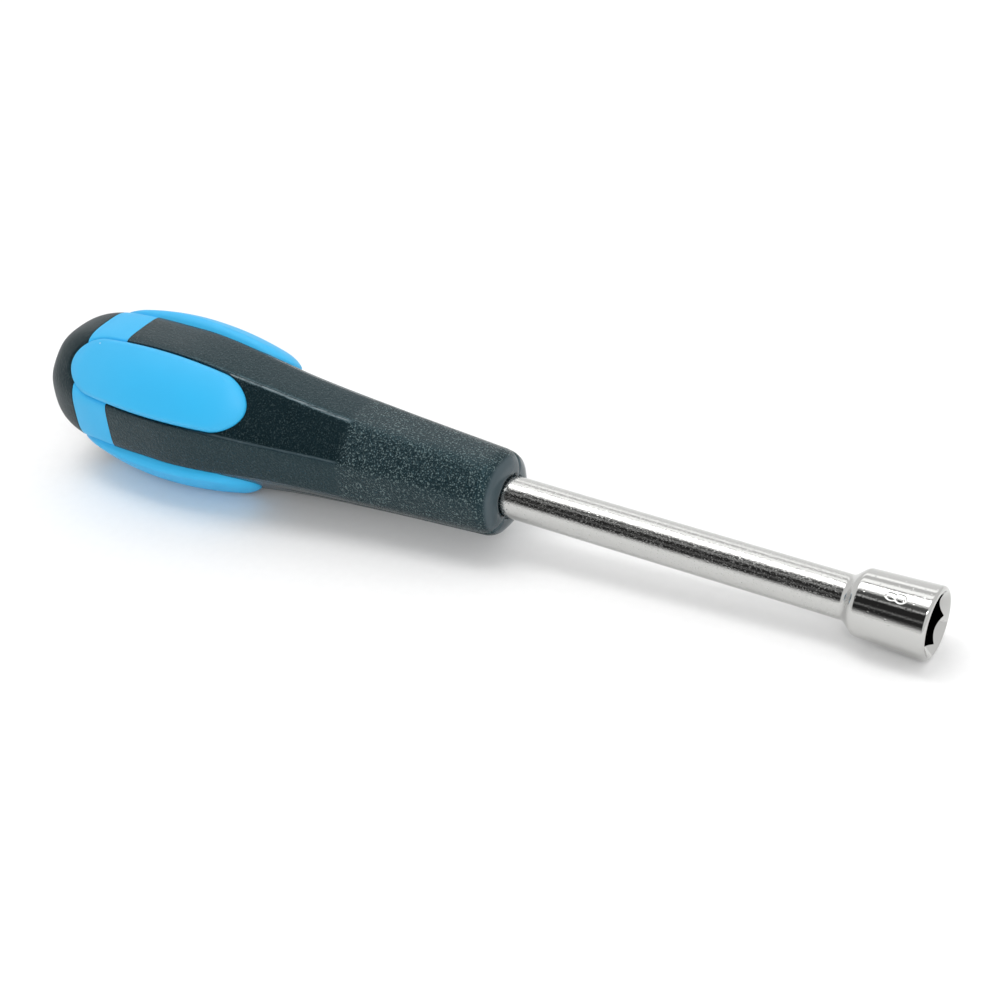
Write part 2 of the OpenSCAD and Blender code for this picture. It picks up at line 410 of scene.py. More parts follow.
@dataclass
class Skin:
    """Patches of points, in millimetres, that become one mesh."""

    patches: list[tuple[Array, bool, Array]] = field(default_factory=list)
    weld: float = 0.003
    sharp_angle: float = 38.0

    def add(self, grid: Array, closed: bool = False, polish: Array | float = 0.0) -> None:
        """Keeps a patch of points, closed if its last column joins its first, and each point's gloss and
        painted sheen.
        """
        self.patches.append((grid, closed, np.broadcast_to(polish, grid.shape[:2])))

    def build(self, name: str) -> bpy.types.Object:
        """Welds the patches into one smooth mesh with its faces turned outwards.

        Args:
            name: The name of the new object.

        Returns:
            The object, linked to the scene.
        """
        points: list[Array] = []
        faces: list[Array] = []
        shine: list[Array] = []
        start = 0
        for grid, closed, polish in self.patches:
            rows, columns = grid.shape[:2]
            index = start + np.arange(rows * columns).reshape(rows, columns)
            if closed:
                index = np.concatenate([index, index[:, :1]], axis=1)
            corners = [index[:-1, :-1], index[1:, :-1], index[1:, 1:], index[:-1, 1:]]
            faces.append(np.stack(corners, axis=-1).reshape(-1, 4))
            points.append(grid.reshape(-1, 3) * MM)
            shine.append(polish.reshape(-1))
            start += rows * columns
        mesh = bpy.data.meshes.new(name)
        mesh.from_pydata(np.concatenate(points).tolist(), [], np.concatenate(faces).tolist())
        mesh.attributes.new(POLISH, "FLOAT", "POINT").data.foreach_set("value", np.concatenate(shine))
        form = bmesh.new()
        form.from_mesh(mesh)
        bmesh.ops.remove_doubles(form, verts=form.verts, dist=self.weld * MM)
        bmesh.ops.recalc_face_normals(form, faces=form.faces)
        for face in form.faces:
            face.smooth = True
        form.to_mesh(mesh)
        form.free()
        mesh.set_sharp_from_angle(angle=math.radians(self.sharp_angle))
        piece = bpy.data.objects.new(name, mesh)
        bpy.context.scene.collection.objects.link(piece)
        return piece


def dress(piece: bpy.types.Object, finish: Finish, node: str) -> bpy.types.Object:
    """Gives a piece its finish and its place in the part.

    Args:
        piece: The new mesh object.
        finish: The finish it wears.
        node: The CAD node that it stands for.

    Returns:
        The same object.
    """
    piece.data.materials.append(finish.build())
    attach(piece, BODY)
    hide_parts(node)
    return piece


@dataclass(frozen=True)
class HandleForm:
    """Outside form of the handle: eight bowed flats that swell from the nose to a rounded butt.

    Stations are counted backwards from the face of the nose, in millimetres. Turns are degrees about the
    axis, from +Y towards +Z.
    """

    blade_len: float = 75.0
    length: float = 98.0
    nose_d: float = 15.1
    nose_flat_d: float = 8.206
    nose_round: float = 3.3975
    waist_pos: float = 49.2
    waist_w: float = 22.8
    swell_pos: float = 67.5
    swell_w: float = 26.8
    nose_slope: float = 0.058
    waist_slope: float = 0.145
    butt_power: float = 3.3
    butt_arc: float = 80.0
    flat_bow: float = 0.95
    nose_ridge: float = 14.0
    waist_ridge: float = 60.0
    butt_ridge: float = 10.0
    pad_flat_share: float = 0.973
    panel_share: float = 1.025
    widening: tuple[float, ...] = (24.0, 48.0, 80.0, 97.0)
    turn_rounds: int = 12

    def curve(self, d: Array, span: Span, reach: Span, slope: Span) -> Array:
        """Runs a smooth curve between two stations.

        Args:
            d: Stations.
            span: First and last station of the curve.
            reach: Its values there.
            slope: Its slopes there.

        Returns:
            The curve's value at each station.
        """
        run = span[1] - span[0]
        s = np.clip((d - span[0]) / run, 0.0, 1.0)
        return (reach[0] * (1 + 2 * s) * (1 - s) ** 2 + reach[1] * s * s * (3 - 2 * s)
                + run * (slope[0] * s * (1 - s) ** 2 - slope[1] * s * s * (1 - s)))

    def flat_at(self, d: Array) -> Array:
        """Gives the distance from the axis to the middle of a flat.

        Args:
            d: Stations.

        Returns:
            The distance at each station.
        """
        d = np.asarray(d, dtype=float)
        nose = np.sqrt(np.clip(1 - (1 - np.clip(d / self.nose_round, 0, 1)) ** 2, 0, 1))
        front = self.nose_flat_d / 2 + (self.nose_d - self.nose_flat_d) / 2 * nose
        shank = self.curve(d, (self.nose_round, self.waist_pos), (self.nose_d / 2, self.waist_w / 2),
                           (self.nose_slope, self.waist_slope))
        swell = self.curve(d, (self.waist_pos, self.swell_pos), (self.waist_w / 2, self.swell_w / 2),
                           (self.waist_slope, 0.0))
        end_share = math.sin(math.radians(self.butt_arc)) ** (2 / self.butt_power)
        butt_len = (self.length - self.swell_pos) / end_share
        share = np.clip((d - self.swell_pos) / butt_len, 0.0, 1.0)
        butt = self.swell_w / 2 * (1 - share ** self.butt_power) ** (1 / self.butt_power)
        return np.select([d < self.nose_round, d < self.waist_pos, d < self.swell_pos],
                         [front, shank, swell], butt)

    def ridge_at(self, d: Array) -> Array:
        """Gives how crisp the ridges between the flats are.

        Args:
            d: Stations.

        Returns:
            The power that sharpens the ridges at each station.
        """
        d = np.asarray(d, dtype=float)
        front = np.clip((d - self.nose_round) / (self.waist_pos - self.nose_round), 0, 1)
        back = np.clip((d - self.waist_pos) / (self.length - self.waist_pos), 0, 1)
        return np.where(d < self.waist_pos,
                        self.nose_ridge + (self.waist_ridge - self.nose_ridge) * front,
                        self.waist_ridge + (self.butt_ridge - self.waist_ridge) * back)

    def shares_at(self, d: Array) -> tuple[Array, Array]:
        """Gives how near the axis the two kinds of flats lie; the flats under the pads are the wider ones.

        Args:
            d: Stations.

        Returns:
            Shares of the even octagon's distance, for the flats under the pads and for the panels.
        """
        weight = np.interp(d, self.widening, (0, 1, 1, 0))
        weight = weight * weight * (3 - 2 * weight)
        return 1 + (self.pad_flat_share - 1) * weight, 1 + (self.panel_share - 1) * weight

    def ridge_turn(self, d: Array) -> Array:
        """Gives the turn of the ridges from the middle of the flats under the pads."""
        low, high = self.shares_at(d)
        return np.degrees(np.arctan(math.sqrt(2) * high / low - 1))

    def reach(self, d: Array, turn: Array) -> Array:
        """Gives the distance from the axis to the skin.

        Args:
            d: Stations.
            turn: Turns in degrees.

        Returns:
            The distance at each station and turn.
        """
        power = self.ridge_at(d)
        low, high = self.shares_at(d)
        pull = np.zeros(np.broadcast(d, turn).shape)
        for side in range(8):
            away = (np.asarray(turn) - 45 * side + 540) % 360 - 180
            share = low if side % 2 else high
            pull = pull + (np.clip(np.cos(np.radians(away * self.flat_bow)), 0, 1) / share) ** power
        return self.flat_at(d) * pull ** (-1 / power)

    def place(self, d: Array, turn: Array, depth: Array | float = 0.0) -> Array:
        """Gives points on the skin, or at a depth below it."""
        return self.spin(d, turn, self.reach(d, turn) - depth)

    def spin(self, d: Array, turn: Array, radius: Array) -> Array:
        """Gives points at a station, turn and distance from the axis."""
        return round_axis(self.blade_len + d, turn, radius)

    def turn_of(self, d: Array, side: Array) -> Array:
        """Gives the turn, from the middle of a flat, at which the skin lies this far to the side.

        Args:
            d: Stations.
            side: Distances from the middle line of the flat.

        Returns:
            Turns in degrees.
        """
        turn = np.degrees(np.arctan2(side, self.flat_at(d)))
        for _ in range(self.turn_rounds):
            turn = np.degrees(np.arcsin(np.clip(side / self.reach(d, turn), -1, 1)))
        return turn


@dataclass(frozen=True)
class PadForm:
    """Plan and crown of one of the four long pads of the soft grip."""

    pos: float = 49.2
    length: float = 40.0
    width: float = 10.9
    front_width: float = 10.8
    bow: float = 0.7
    rise: float = 2.0
    front_end: float = 6.156
    rear_end: float = 6.867
    crest_pos: float = 70.4
    crest_r: float = 73.7
    rear_crest_r: float = 56.28
    crown_r: float = 17.42
    edge_round: float = 0.7
    crease: float = 0.3
    crease_w: float = 0.35
    front_run: float = 6.2
    rear_run: float = 5.1
    turns: tuple[float, ...] = (45.0, 135.0, 225.0, 315.0)

    @property
    def front_mid(self) -> float:
        """Station where the rounded front end begins."""
        return self.pos + self.front_end

    @property
    def rear_mid(self) -> float:
        """Station where the rounded rear end begins."""
        return self.pos + self.length - self.rear_end

    def half_at(self, d: Array) -> Array:
        """Gives half the width, bowed out between the ends.

        Args:
            d: Stations.

        Returns:
            The distance from the middle line to the edge, before the ends are rounded.
        """
        share = (d - self.front_mid) / (self.rear_mid - self.front_mid)
        plain = (self.front_width + (self.width - self.front_width) * share) / 2
        return plain + 4 * self.bow * share * (1 - share)

    def away(self, d: Array, side: Array) -> Array:
        """Gives about how far a point lies outside the pad in plan.

        Args:
            d: Stations behind the front end.
            side: Distances from the middle line.

        Returns:
            The distance from the edge, negative inside.
        """
        half = self.half_at(d)
        past = np.clip((d - self.rear_mid) / self.rear_end, 0, None)
        return (np.hypot(past, side / half) - 1) * half

    def crease_at(self, form: HandleForm, d: Array, turn: Array) -> Array:
        """Gives the depth of the crease that the pads leave in the handle's skin round them."""
        side = np.abs(form.reach(d, turn) * np.sin(np.radians(turn % 90 - 45)))
        return self.crease * np.exp(-(self.away(d, side) / self.crease_w) ** 2)

    def outline(self, inset: float, shrink: float, steps: int) -> tuple[Array, Array]:
        """Runs round the pad in plan.

        Args:
            inset: How far the outline is drawn in.
            shrink: Share by which it is drawn in further, to its middle line at 1.
            steps: Points on each rounded end and on each side.

        Returns:
            Stations and sides, once round.
        """
        keep = 1 - shrink
        turn = np.linspace(0, math.pi, steps, endpoint=False)
        front = (self.front_end - inset * self.front_run) * keep
        rear = (self.rear_end - inset * self.rear_run) * keep
        share = turn / math.pi
        d = np.concatenate([
            self.front_mid - front * np.sin(turn), self.front_mid + (self.rear_mid - self.front_mid) * share,
            self.rear_mid + rear * np.sin(turn), self.rear_mid + (self.front_mid - self.rear_mid) * share])
        along = np.ones(steps)
        side = np.concatenate([np.cos(turn), -along, -np.cos(turn), along])
        return d, side * (self.half_at(d) - inset) * keep

    def crest_at(self, d: Array, side: Array) -> Array:
        """Gives the height of the crowned top above the axis.

        Args:
            d: Stations.
            side: Distances from the middle line.

        Returns:
            The height at each point.
        """
        top = HandleForm().swell_w / 2 + self.rise
        fall_r = np.where(d > self.crest_pos, self.rear_crest_r, self.crest_r)
        return top - (d - self.crest_pos) ** 2 / (2 * fall_r) - side ** 2 / (2 * self.crown_r)


@dataclass
class Moulding:
    """A moulded piece of the handle, cut from the forms that all of them share."""

    form: HandleForm = HandleForm()
    pad: PadForm = PadForm()


@dataclass
class Sleeve(Moulding):
    """Hard sleeve: the black nose and the four panels that run back between the pads."""

    finish: Finish = MouldedPolypropylene()
    end: float = 77.95
    shaft_d: float = 7.3
    gap: float = 0.05
    lip: float = 0.16
    border: float = 1.3
    wall: float = 1.9
    ring: float = 0.36
    ring_sink: float = 0.06
    ring_taper: float = 0.05
    hole_gap: float = 0.03
    hole_depth: float = 4.0
    parting_turns: tuple[float, ...] = (45.0, 225.0)
    parting_depth: float = 0.5
    parting_width: float = 0.36
    parting_end: float = 46.0
    parting_fade: float = 8.0
    parting_steps: tuple[Span, ...] = ((1.0, 0.0), (0.97, 0.6), (0.93, 1.0))
    ridge_w: float = 0.2
    ridge_start: float = 29.0
    ridge_end: float = 62.0
    ridge_fade: float = 8.0
    rim_end: float = 1.4
    rim_fade: float = 0.5
    columns: int = 56
    column_ease: float = 0.4
    nose_rows: int = 26
    shank_rows: int = 90
    tip_rows: int = 40
    side_rows: int = 48
    border_rows: int = 13
    lip_rows: int = 9
    wall_rows: int = 5

    def column_shares(self) -> Array:
        """Gives the places of the columns across a half sector, closer together near the pad."""
        share = np.linspace(0, 1, self.columns)
        return self.column_ease * share ** 2 + (1 - self.column_ease) * share

    def stations(self) -> tuple[Array, Array]:
        """Gives the rows of a half sector.

        Returns:
            Stations from the nose back, and at each the side where the border round the pad ends.
        """
        pad, form = self.pad, self.form
        spread = self.border + self.gap
        tip = pad.front_mid - pad.front_end - spread
        nose = form.nose_round * (1 - np.cos(np.linspace(0, math.pi / 2, self.nose_rows)))
        shank = np.linspace(form.nose_round, tip, self.shank_rows)[1:]
        turn = np.linspace(0, math.pi / 2, self.tip_rows)[1:]
        round_tip = pad.front_mid - (pad.front_end + spread) * np.cos(turn)
        straight = np.linspace(pad.front_mid, self.end, self.side_rows)[1:]
        sides = [np.zeros(len(nose) + len(shank)), (pad.half_at(round_tip) + spread) * np.sin(turn),
                 pad.half_at(straight) + spread]
        return np.concatenate([nose, shank, round_tip, straight]), np.concatenate(sides)

    def ridge_polish(self, d: Array, turn: Array) -> Array:
        """Gives how glossy the ridges are, with their painted sheen, in front of the pads and beside their
        tips.

        Args:
            d: Stations.
            turn: Turns in degrees from the middle line of the pad.

        Returns:
            The gloss and painted sheen at each point, from 0 to 1.
        """
        away = np.radians(turn - self.form.ridge_turn(d)) * self.form.flat_at(d)
        fade = np.clip(d - self.ridge_start, 0, 1) * np.clip((self.ridge_end - d) / self.ridge_fade, 0, 1)
        return np.exp(-(away / self.ridge_w) ** 2) * fade

    def half_sector(self, centre: float, half: Half) -> tuple[Array, Array]:
        """Lays the skin between a pad's border and the middle of the next panel.

        Args:
            centre: Turn of the pad's middle line.
            half: The side of the pad.

        Returns:
            The patch of points, and how glossy the skin is, with its painted sheen, at each.
        """
        d, side = self.stations()
        edge = self.form.turn_of(d, side)
        turn = edge[:, None] + (45 - edge[:, None]) * self.column_shares()[None, :]
        depth = np.zeros_like(turn)
        if centre in self.parting_turns:
            away = np.radians(turn) * self.form.flat_at(d)[:, None]
            near_nose = np.clip((self.parting_end - d) / self.parting_fade, 0, 1)[:, None]
            depth = self.parting_depth * near_nose * np.exp(-(away / self.parting_width) ** 2)
        # Near the rim of the nose the skin turns glossy and takes the painted sheen.
        rim = np.clip((self.rim_end - d) / self.rim_fade, 0, 1)[:, None]
        polish = np.maximum(self.ridge_polish(d[:, None], turn), rim)
        return self.form.place(d[:, None], centre + half.value * turn, depth), polish

    def border_strip(self, centre: float, half: Half) -> tuple[Array, Array]:
        """Lays the border round a pad: a flat strip, a small rolled lip and the wall of the pad's bed.

        Args:
            centre: Turn of the pad's middle line.
            half: The side of the pad.

        Returns:
            The patch of points, and how glossy the skin is, with its painted sheen, at each.
        """
        pad = self.pad
        roll = np.linspace(0, math.pi / 2, self.lip_rows)
        flat = np.linspace(self.border, self.lip, self.border_rows)[:-1]
        wall = np.linspace(self.lip, self.wall, self.wall_rows)[1:]
        spread = np.concatenate([flat, self.lip * (1 - np.sin(roll)), np.zeros(len(wall))]) + self.gap
        depth = np.concatenate([np.zeros(len(flat)), self.lip * (1 - np.cos(roll)), wall])
        sweep = np.linspace(0, math.pi / 2, self.tip_rows)
        straight = np.linspace(pad.front_mid, self.end, self.side_rows)[1:]
        d = np.concatenate([
            pad.front_mid - (pad.front_end + spread[:, None]) * np.cos(sweep[None, :]),
            np.broadcast_to(straight, (len(spread), len(straight)))], axis=1)
        across = np.concatenate([np.sin(sweep), np.ones(len(straight))])
        side = (pad.half_at(d) + spread[:, None]) * across[None, :]
        turn = self.form.turn_of(d, side)
        return self.form.place(d, centre + half.value * turn, depth[:, None]), self.ridge_polish(d, turn)

    def nose_face(self) -> Array:
        """Lays the flat face of the nose and the hole that the shaft comes out of.

        Returns:
            The closed patch of points.
        """
        half = 45 * self.column_shares()
        sector = np.concatenate([-half[::-1], half[1:-1]])
        turn = np.concatenate([centre + sector for centre in self.pad.turns])
        outer = self.form.reach(np.zeros(1), turn)
        inner = self.shaft_d / 2 + self.hole_gap
        away = np.abs(np.radians((turn - self.parting_turns[0] + 90) % 180 - 90)) * outer
        groove = self.parting_depth * np.exp(-(away / self.parting_width) ** 2)
        face = [self.form.spin(groove * lift, turn, inner + (outer - inner) * s)
                for s, lift in self.parting_steps]
        steps = ((self.ring_sink, self.ring), (self.ring, self.ring - self.ring_taper), (self.ring, 0.0),
                 (self.hole_depth, 0.0))
        hole = [self.form.spin(np.full(turn.shape, d), turn, np.full(turn.shape, inner + gap))
                for d, gap in steps]
        return np.stack(face + hole)

    def build(self) -> bpy.types.Object:
        """Builds and dresses the sleeve.

        Returns:
            The finished piece.
        """
        skin = Skin()
        for centre in self.pad.turns:
            for half in Half:
                for grid, polish in (self.half_sector(centre, half), self.border_strip(centre, half)):
                    skin.add(grid, polish=polish)
        # The whole face of the nose is glossy and takes the painted sheen.
        skin.add(self.nose_face(), closed=True, polish=1.0)
        return dress(skin.build("hard_sleeve"), self.finish, "handle_sleeve")


@dataclass
class SoftGrip(Moulding):
    """Soft grip: four crowned pads joined by a band round the back of the handle, moulded in one."""

    finish: Finish = ThermoplasticRubber()
    band_pos: float = 78.0
    band_w: float = 9.0
    band_round: float = 0.12
    foot: float = 2.2
    columns: int = 768
    band_rows: int = 30
    roll_rows: int = 5
    outline_steps: int = 44
    edge_rows: int = 15
    crown_rows: int = 16

    def band(self) -> Array:
        """Lays the band flush with the panels and the butt, its front edge hollow and its rear edge eased.

        Returns:
            The closed patch of points.
        """
        roll = np.linspace(0, math.pi / 2, self.roll_rows)
        ease, first, last = self.band_round, self.band_pos, self.band_pos + self.band_w
        draw_in = ease * (1 - np.sin(roll))
        middle = np.linspace(first + ease, last - ease, self.band_rows)[1:-1]
        d = np.concatenate([[first], first + draw_in, middle, last - draw_in, [last]])[:, None]
        sink = ease * (1 - np.cos(roll))
        depth = np.concatenate([[self.foot], sink[::-1], np.zeros(len(middle)), sink, [self.foot]])[:, None]
        turn = np.linspace(0, 360, self.columns, endpoint=False)[None, :]
        return self.form.place(d, turn, depth + self.pad.crease_at(self.form, d, turn))

    def pad_skin(self, centre: float) -> Array:
        """Lays one pad from its foot over its rolled edge to the middle line of its crown.

        Args:
            centre: Turn of the pad's middle line.

        Returns:
            The closed patch of points.
        """
        rows: list[tuple[Array, Array, Array]] = []
        steps = self.outline_steps
        d, side = self.pad.outline(0, 0, steps)
        rows.append((d, side, self.face_at(d, side) - self.foot))
        for turn in np.linspace(0, math.pi / 2, self.edge_rows):
            d, side = self.pad.outline(self.pad.edge_round * (1 - math.cos(turn)), 0, steps)
            face = self.face_at(d, side)
            rows.append((d, side, face + (self.pad.crest_at(d, side) - face) * math.sin(turn)))
        for shrink in np.linspace(0, 1, self.crown_rows)[1:]:
            d, side = self.pad.outline(self.pad.edge_round, shrink, steps)
            rows.append((d, side, self.pad.crest_at(d, side)))
        d, side, height = (np.stack(part) for part in zip(*rows))
        radius = np.hypot(side, height)
        return self.form.spin(d, centre + np.degrees(np.arctan2(side, height)), radius)

    def face_at(self, d: Array, side: Array) -> Array:
        """Gives the height of the handle's plain faces under a pad.

        Args:
            d: Stations.
            side: Distances from the pad's middle line.

        Returns:
            The height at each point.
        """
        flat = self.form.flat_at(d)
        low, high = self.form.shares_at(d)
        return np.minimum(flat * low, flat * high * math.sqrt(2) - np.abs(side))

    def build(self) -> bpy.types.Object:
        """Builds and dresses the grip.

        Returns:
            The finished piece.
        """
        skin = Skin()
        skin.add(self.band(), closed=True)
        for centre in self.pad.turns:
            skin.add(self.pad_skin(centre), closed=True)
        return dress(skin.build("soft_grip_pads"), self.finish, "soft_grip")


@dataclass
class Butt(Moulding):
    """Visible end of the hard core: the rounded black butt behind the band."""

    finish: Finish = MouldedPolypropylene(
        "moulded_polypropylene_butt", gloss=0.24, roughness=0.42, shows_wear_and_sheen=False)
    start: float = 87.05
    ease: float = 0.12
    depth: float = 2.2
    columns: int = 768
    roll_rows: int = 5
    dome_rows: int = 60
    end_rings: int = 8

    def build(self) -> bpy.types.Object:
        """Builds and dresses the butt.

        Returns:
            The finished piece.
        """
        form = self.form
        roll = np.linspace(math.pi / 2, 0, self.roll_rows)
        share = np.linspace(0, 1, self.dome_rows)[1:]
        dome = self.start + self.ease + (form.length - self.start - self.ease) * (1 - (1 - share) ** 2)
        d = np.concatenate([[self.start], self.start + self.ease * (1 - np.sin(roll)), dome])[:, None]
        depth = np.concatenate([[self.depth], self.ease * (1 - np.cos(roll)), np.zeros(len(dome))])[:, None]
        turn = np.linspace(0, 360, self.columns, endpoint=False)
        skin = Skin()
        crease = self.pad.crease_at(form, d, turn[None, :])
        skin.add(form.place(d, turn[None, :], depth + crease), closed=True)
        end = np.full(turn.shape, form.length)
        last = form.reach(end, turn)
        rings = [form.spin(end, turn, last * s) for s in np.linspace(1, 0, self.end_rings)]
        skin.add(np.stack(rings), closed=True)
        return dress(skin.build("rounded_butt"), self.finish, "handle_core")


@dataclass
class Blade:
    """Steel blade: a hexagon socket, its shoulder and the shaft that runs into the nose."""

    finish: Finish = ChromePlatedSteel()
    recess_w: float = 8.1
    socket_d: float = 11.753
    socket_rear_d: float = 10.853
    socket_len: float = 11.5
    shoulder_len: float = 3.0
    shaft_d: float = 7.3
    shaft_end: float = 78.5
    rim_round: float = 0.6
    lead_in: float = 0.552
    lead_in_len: float = 0.6
    recess_depth: float = 9.0
    drill_cone: float = 2.025
    corner_turn: float = 158.0
    size_turn: float = 118.0
    size_pos: float = 5.7
    size_len: float = 2.9
    size_w: float = 1.2
    stroke: float = 0.17
    stroke_depth: float = 0.07
    loops: tuple[Span, ...] = ((-0.25, 1.0), (0.25, 0.88))
    size_span: float = 16.0
    size_step: float = 0.5
    weld: float = 0.001
    columns: int = 220
    row_breaks: tuple[float, ...] = (3.4, 3.5, 8.0, 8.05)
    row_step: float = 0.06
    rim_rows: int = 12
    rear_rows: int = 16
    shoulder_rows: int = 28
    shaft_rows: int = 90
    mouth_rows: int = 3
    lead_in_rows: int = 6
    wall_rows: int = 14
    cone_rows: int = 6

    def turns(self) -> Array:
        """Gives the columns, close together where the size is stamped.

        Returns:
            Turns in degrees, once round.
        """
        near = np.arange(-self.size_span, self.size_span, self.size_step)
        far = np.linspace(self.size_span, 360 - self.size_span, self.columns)
        return self.size_turn + np.concatenate([near, far[:-1]])

    def hexagon(self, turn: Array) -> Array:
        """Gives the distance from the axis to the wall of the hexagon recess at each turn."""
        away = (turn - self.corner_turn) % 60 - 30
        return self.recess_w / 2 / np.cos(np.radians(away))

    def stamp(self, x: Array, turn: Array) -> Array:
        """Gives the depth of the stamped size, two loops in a row along the axis.

        Args:
            x: Distances behind the mouth.
            turn: Turns in degrees.

        Returns:
            The depth at each point.
        """
        around = np.radians((turn - self.size_turn + 180) % 360 - 180) * self.socket_d / 2
        depth = np.zeros(np.broadcast(x, around).shape)
        for shift, share in self.loops:
            reach = np.hypot((x - self.size_pos - shift * self.size_len) / (self.size_len / 4),
                             around / (self.size_w / 2 * share))
            line = np.abs(reach - 1) * self.size_w / 2
            depth = np.maximum(depth, np.exp(-(line / self.stroke) ** 4))
        return self.stroke_depth * depth

    def outside(self) -> Array:
        """Lays the outside from the rim of the mouth to the shaft in the nose.

        Returns:
            The closed patch of points.
        """
        roll = np.linspace(0, math.pi / 2, self.rim_rows)
        rim_x = self.rim_round * (1 - np.cos(roll))
        rim_r = self.socket_d / 2 - self.rim_round * (1 - np.sin(roll))
        # Rows lie close together where the size is stamped.
        ahead, first, last, behind = self.row_breaks
        body_x = np.concatenate([
            np.linspace(self.rim_round, ahead, self.rim_rows)[1:], np.arange(first, last, self.row_step),
            np.linspace(behind, self.socket_len, self.rear_rows)])
        share = (body_x - self.rim_round) / (self.socket_len - self.rim_round)
        body_r = (self.socket_d + (self.socket_rear_d - self.socket_d) * share) / 2
        fall = np.linspace(0, 1, self.shoulder_rows)[1:]
        fall_x = self.socket_len + self.shoulder_len * fall
        drop = (1 - np.cos(math.pi * fall)) / 2
        fall_r = (self.socket_rear_d + (self.shaft_d - self.socket_rear_d) * drop) / 2
        shaft_x = np.linspace(fall_x[-1], self.shaft_end, self.shaft_rows)[1:]
        x = np.concatenate([rim_x, body_x, fall_x, shaft_x])
        radius = np.concatenate([rim_r, body_r, fall_r, np.full(len(shaft_x), self.shaft_d / 2)])
        turn = self.turns()
        deep = self.stamp(x[:, None], turn[None, :])
        return round_axis(x[:, None], turn[None, :], radius[:, None] - deep)

    def inside(self) -> Array:
        """Lays the mouth, its lead-in, the hexagon recess and the drilled bottom.

        Returns:
            The closed patch of points.
        """
        turn = self.turns()
        wall = self.hexagon(turn)
        corner = self.recess_w / 2 / math.cos(math.pi / 6)
        rim = self.socket_d / 2 - self.rim_round
        mouth = corner + self.lead_in
        rows: list[tuple[Array, Array]] = [(np.zeros_like(wall), np.full_like(wall, r))
                                           for r in np.linspace(rim, mouth, self.mouth_rows)]
        lip = (mouth - wall) * self.lead_in_len / self.lead_in
        rows += [(lip * s, mouth + (wall - mouth) * s) for s in np.linspace(0, 1, self.lead_in_rows)[1:]]
        rows += [(lip + (self.recess_depth - lip) * s, wall) for s in np.linspace(0, 1, self.wall_rows)[1:]]
        floor = np.full_like(wall, self.recess_depth)
        rows.append((floor, np.full_like(wall, self.recess_w / 2)))
        rows += [(floor + self.drill_cone * s, np.full_like(wall, self.recess_w / 2 * (1 - s)))
                 for s in np.linspace(0, 1, self.cone_rows)[1:]]
        return np.stack([round_axis(x, turn, radius) for x, radius in rows])

    def build(self) -> bpy.types.Object:
        """Builds and dresses the blade.

        Returns:
            The finished piece.
        """
        skin = Skin(weld=self.weld)
        skin.add(self.outside(), closed=True)
        skin.add(self.inside(), closed=True)
        return dress(skin.build("socket_blade"), self.finish, "blade")


@dataclass
class PhotoCamera:
    """Camera of the photograph, found from the outline of the tool in the picture.

    Slope is the fall of the axis in the picture, tilt is how far the socket comes towards the camera, and
    roll turns the handle about its axis. The anchor is the point of the axis at the given depth and place.
    """

    focal: float = 1900.0
    frame_px: float = 1002.0
    slope: float = 16.837
    tilt: float = 27.823
    roll: float = 3.5
    depth: float = 319.27
    shift_px: Span = (2.998, -6.909)
    anchor: float = 76.4
    sensor: float = 36.0
    clip: float = 10.0

    def axes(self) -> Array:
        """Gives the part's axes in the camera's own: right, down and forward.

        Returns:
            A rotation with the part's X, Y and Z as its columns.
        """
        slope, tilt, roll = (math.radians(a) for a in (self.slope, self.tilt, self.roll))
        along, deep = np.array([math.cos(slope), math.sin(slope), 0.0]), np.array([0.0, 0.0, 1.0])
        ahead = math.cos(tilt) * along - math.sin(tilt) * deep
        near = -math.sin(tilt) * along - math.cos(tilt) * deep
        over = np.array([math.sin(slope), -math.cos(slope), 0.0])
        front = math.cos(roll) * near + math.sin(roll) * over
        top = -math.sin(roll) * near + math.cos(roll) * over
        return np.stack([ahead, (top - front) / math.sqrt(2), (top + front) / math.sqrt(2)], axis=1)

    def toward(self, turn: float) -> Vector:
        """Gives a direction square to the axis, turned up by these degrees from the camera's side."""
        angle = math.radians(135 + self.roll - turn)
        return Vector((0.0, math.cos(angle), math.sin(angle)))

    def place(self) -> tuple[Matrix, Vector]:
        """Gives the camera's matrix and its position in metres.

        Returns:
            The world matrix and the position.
        """
        turn = self.axes()
        scale = self.depth / self.focal
        middle = np.array([self.shift_px[0] * scale, self.shift_px[1] * scale, self.depth])
        spot = Vector(-turn.T @ (middle + self.anchor * turn[:, 0]) * MM)
        matrix = Matrix(np.stack([turn[0], -turn[1], -turn[2]], axis=1).tolist()).to_4x4()
        matrix.translation = spot
        return matrix, spot

    def build(self) -> None:
        """Adds the camera to the scene and looks through it."""
        lens = bpy.data.cameras.new("photo_camera")
        lens.sensor_fit = "HORIZONTAL"
        lens.sensor_width = self.sensor
        lens.lens = self.focal / self.frame_px * self.sensor
        lens.clip_start = self.clip * MM
        camera = bpy.data.objects.new("photo_camera", lens)
        camera.matrix_world = self.place()[0]
        bpy.context.scene.collection.objects.link(camera)
        bpy.context.scene.camera = camera


